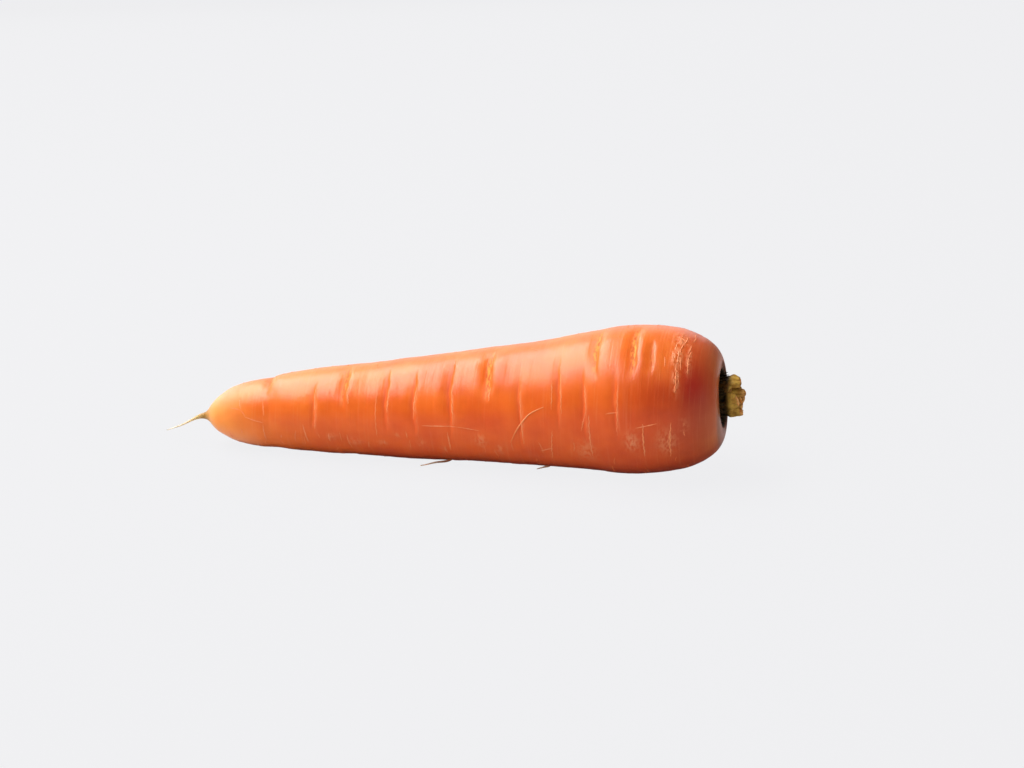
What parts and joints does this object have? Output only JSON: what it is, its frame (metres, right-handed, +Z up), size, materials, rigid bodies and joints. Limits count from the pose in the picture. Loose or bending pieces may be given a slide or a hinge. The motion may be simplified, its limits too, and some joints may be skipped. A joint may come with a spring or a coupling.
{
  "type": "carrot",
  "caption": "Stocky blunt-tipped carrot lying on its side, creased tapering taproot with a thin tail, fine rootlets and a cut bunch of leaf-stalk stubs in the crown.",
  "frame": {"origin": "middle of the carrot's box, on the surface that it lies on", "axes": "+X from the tail to the crown, +Z up, -Y the side that the picture shows"},
  "size_m": [0.1864, 0.0462, 0.0458],
  "materials": {
    "root_skin": "satin orange carrot skin, yellower at the tip, redder at the shoulder, with fine pale scars across it",
    "leaf_stalk": "matt fibrous olive-brown stalk with tan cut ends"
  },
  "bodies": {
    "root": {"taproot": "root_skin", "leaf_stalk_stubs": "leaf_stalk"}
  },
  "joints": []
}
